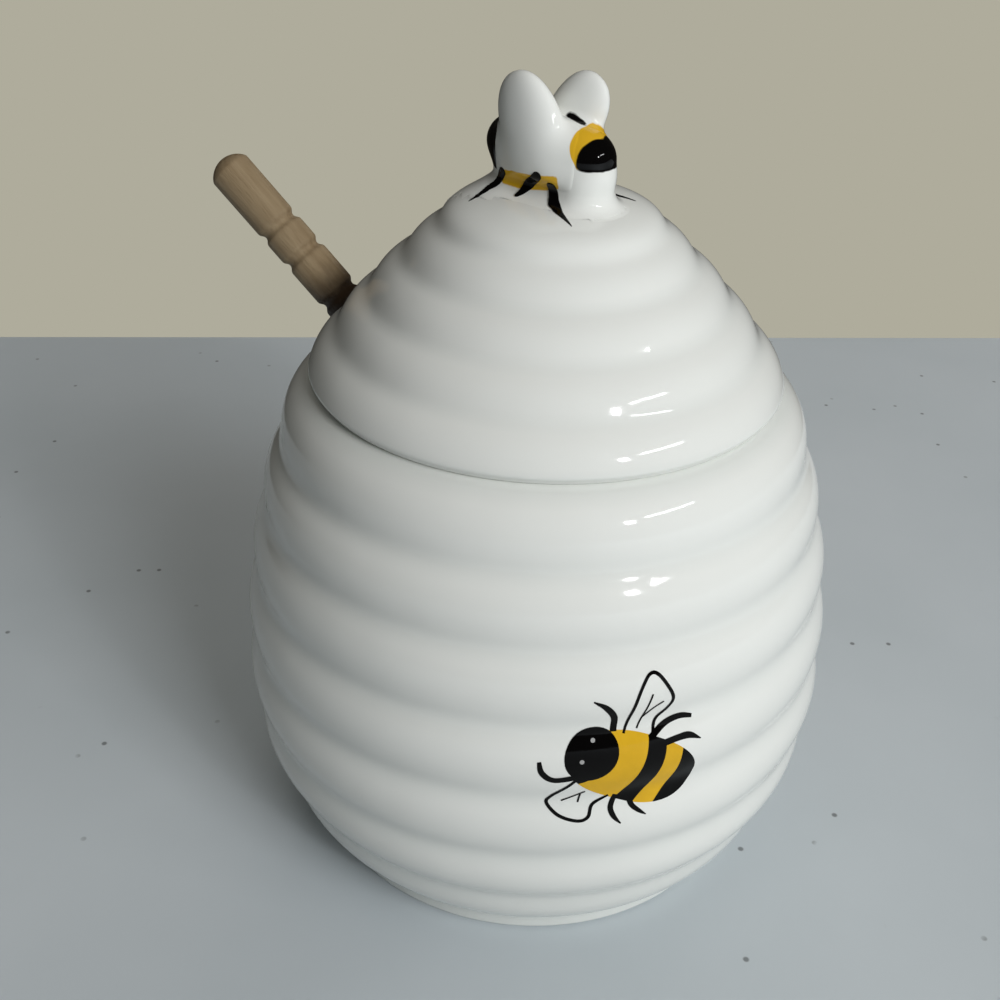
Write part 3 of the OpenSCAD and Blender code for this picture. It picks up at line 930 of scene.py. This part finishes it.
def beech():
    """Plain beech, with painted shade from the handle's lowest groove down to the head, where the lid shades it and
    inside the pot.
    """
    s = Shader("beech", 0.6, srgb(160, 141, 112))
    where = s.read("grain").outputs["Vector"]
    stretched = s.add("ShaderNodeMapping", {"Vector": where, "Scale": (1.0, 1.0, 0.09)}).outputs["Vector"]
    streaks = s.noise(0.9, 4, stretched, 0.55)
    fine = s.noise(5.0, 3, stretched, 0.6)
    colour = s.mix(s.span(streaks, 0.3, 0.7), srgb(154, 135, 106), srgb(134, 114, 86))
    colour = s.mix(s.math("MULTIPLY", s.span(fine, 0.55, 0.75), 0.35), colour, srgb(106, 86, 60))
    height = s.add("ShaderNodeSeparateXYZ", {"Vector": where}).outputs["Z"]
    height = s.math("ADD", height, s.span(s.noise(0.5, 3, where), 0, 1, -1.5, 1.5))
    # Painted shade: near-black brown from about the lowest groove down to the head
    shaded_part = s.span(height, DIPPER_LENGTH - SHADE_FROM_END - 3.5, DIPPER_LENGTH - SHADE_FROM_END + 2.0, 1, 0)
    colour = s.mix(s.math("MULTIPLY", shaded_part, 0.95), colour, srgb(38, 24, 12))
    s.put(colour, s.main.inputs["Base Color"])
    s.put(s.span(fine, 0.3, 0.7, 0.5, 0.68), s.main.inputs["Roughness"])
    s.put(s.bump(fine, 0.00012, 0.8), s.main.inputs["Normal"])
    return s.material


def dress(obj, material):
    obj.data.materials.clear()
    obj.data.materials.append(material)


pot_white, lid_white = white_glaze("pot_white_glaze"), white_glaze("lid_white_glaze")
dress(pot, pot_white)
dress(lid, lid_white)
dress(bee, bee_glaze("bee_glaze"))
wing_white = bee_glaze("wing_glaze")
for wing in wings:
    dress(wing, wing_white)
leg_paint = paint("leg_paint", BLACK_PAINT)
for leg in legs:
    dress(leg, leg_paint)
painted_bee()
dress(dipper, beech())


# ---------------------------------------------------------------- table, camera and light
# How far behind the pot the table ends and how much that edge slants, which makes it level in the picture
TABLE_BACK_M, TABLE_SLANT, TABLE_SIDE_M = 0.2042, 0.1026, 1.6
# The camera that was fitted to the photo for a chosen lens of 45 mm on a frame 36 mm wide
CAMERA_DOWN, CAMERA_LEFT, CAMERA_ROLL = 31.48, 2.09, 1.61
CAMERA_PLACE_M, CAMERA_LENS, CAMERA_FRAME = (0, -0.1811, 0.1716), 45.0, 36.0
LAMPS_AIM_M = Vector((0, 0, 0.07))
TABLE_COLOUR, WALL_COLOUR = srgb(204, 211, 215), srgb(175, 172, 156)


def table_top():
    mesh = bpy.data.meshes.new("table_top")
    side, front = TABLE_SIDE_M, -TABLE_SIDE_M
    left, right = TABLE_BACK_M - TABLE_SLANT * side, TABLE_BACK_M + TABLE_SLANT * side
    mesh.from_pydata([(-side, front, 0), (side, front, 0), (side, right, 0), (-side, left, 0)], [], [(0, 1, 2, 3)])
    obj = bpy.data.objects.new("table_top", mesh)
    bpy.context.scene.collection.objects.link(obj)
    s = Shader("table_top", 0.55, TABLE_COLOUR)
    cloud = s.noise(14, 4)
    where = s.add("ShaderNodeTexCoord").outputs["Object"]
    specks = s.add("ShaderNodeTexVoronoi", {"Vector": where, "Scale": 55.0, "Randomness": 1.0}, voronoi_dimensions="2D")
    dots = s.span(specks.outputs["Distance"], 0.02, 0.035, 1, 0)
    rare = s.span(s.noise(30, 1), 0.54, 0.58)
    colour = s.mix(s.span(cloud, 0.3, 0.7), TABLE_COLOUR, srgb(196, 204, 208))
    colour = s.mix(s.math("MULTIPLY", s.math("MULTIPLY", dots, rare), 0.7), colour, srgb(80, 82, 82))
    s.put(colour, s.main.inputs["Base Color"])
    dress(obj, s.material)


def photo_camera():
    """Stands where the photograph was taken from: looks down, a little to the left, and is rolled a little."""
    down, left, roll = (math.radians(a) for a in (CAMERA_DOWN, CAMERA_LEFT, CAMERA_ROLL))
    ahead = Vector((-math.sin(left) * math.cos(down), math.cos(left) * math.cos(down), -math.sin(down)))
    level = Vector((math.cos(left), math.sin(left), 0))
    up = level.cross(ahead)
    right = math.cos(roll) * level + math.sin(roll) * up
    above = -math.sin(roll) * level + math.cos(roll) * up
    data = bpy.data.cameras.new("camera")
    data.lens, data.sensor_width, data.clip_start = CAMERA_LENS, CAMERA_FRAME, 0.01
    obj = bpy.data.objects.new("camera", data)
    turn = Matrix((right, above, -ahead)).transposed().to_4x4()
    obj.matrix_world = Matrix.Translation(CAMERA_PLACE_M) @ turn
    bpy.context.scene.collection.objects.link(obj)
    bpy.context.scene.camera = obj


def panel(name, azimuth, height, distance, size, power, colour=(1, 1, 1)):
    """A rectangular lamp that faces the pot. Azimuth 0 is in front and 90 on the right."""
    a, h = math.radians(azimuth), math.radians(height)
    way = Vector((math.sin(a) * math.cos(h), -math.cos(a) * math.cos(h), math.sin(h)))
    data = bpy.data.lights.new(name, "AREA")
    data.shape, data.size, data.size_y, data.energy, data.color = "RECTANGLE", size[0], size[1], power, colour
    obj = bpy.data.objects.new(name, data)
    obj.location = LAMPS_AIM_M + way * distance
    obj.rotation_mode = "QUATERNION"
    obj.rotation_quaternion = way.to_track_quat("Z", "Y")
    obj.visible_camera = False
    bpy.context.scene.collection.objects.link(obj)
    return obj


def world_light():
    world = bpy.data.worlds.new("room")
    bpy.context.scene.world = world
    world.use_nodes = True
    tree = world.node_tree
    shown = tree.nodes.new("ShaderNodeBackground")
    lit = tree.nodes["Background"]
    shown.inputs["Color"].default_value = (*WALL_COLOUR, 1)
    lit.inputs["Color"].default_value = (*srgb(220, 209, 188), 1)
    lit.inputs["Strength"].default_value = 0.03
    path, mix = tree.nodes.new("ShaderNodeLightPath"), tree.nodes.new("ShaderNodeMixShader")
    tree.links.new(path.outputs["Is Camera Ray"], mix.inputs[0])
    tree.links.new(lit.outputs[0], mix.inputs[1])
    tree.links.new(shown.outputs[0], mix.inputs[2])
    tree.links.new(mix.outputs[0], tree.nodes["World Output"].inputs["Surface"])


table_top()
photo_camera()
panel("window", 37, 30, 1.3, (0.5, 0.7), 9.8, (0.98, 1.0, 1.02)).visible_glossy = False
panel("ceiling", 0, 90, 1.4, (1.5, 1.5), 3.6, (1.0, 0.98, 0.92)).visible_glossy = False
panel("room_behind", 170, 16, 1.4, (1.2, 0.8), 6.0, (1.0, 0.98, 0.94)).visible_glossy = False
panel("window_bar", 58, 29, 1.25, (0.44, 0.04), 1.9)
panel("window_dot", 38, 25, 1.25, (0.08, 0.11), 1.3)
world_light()
bpy.context.scene.view_settings.view_transform = "Standard"
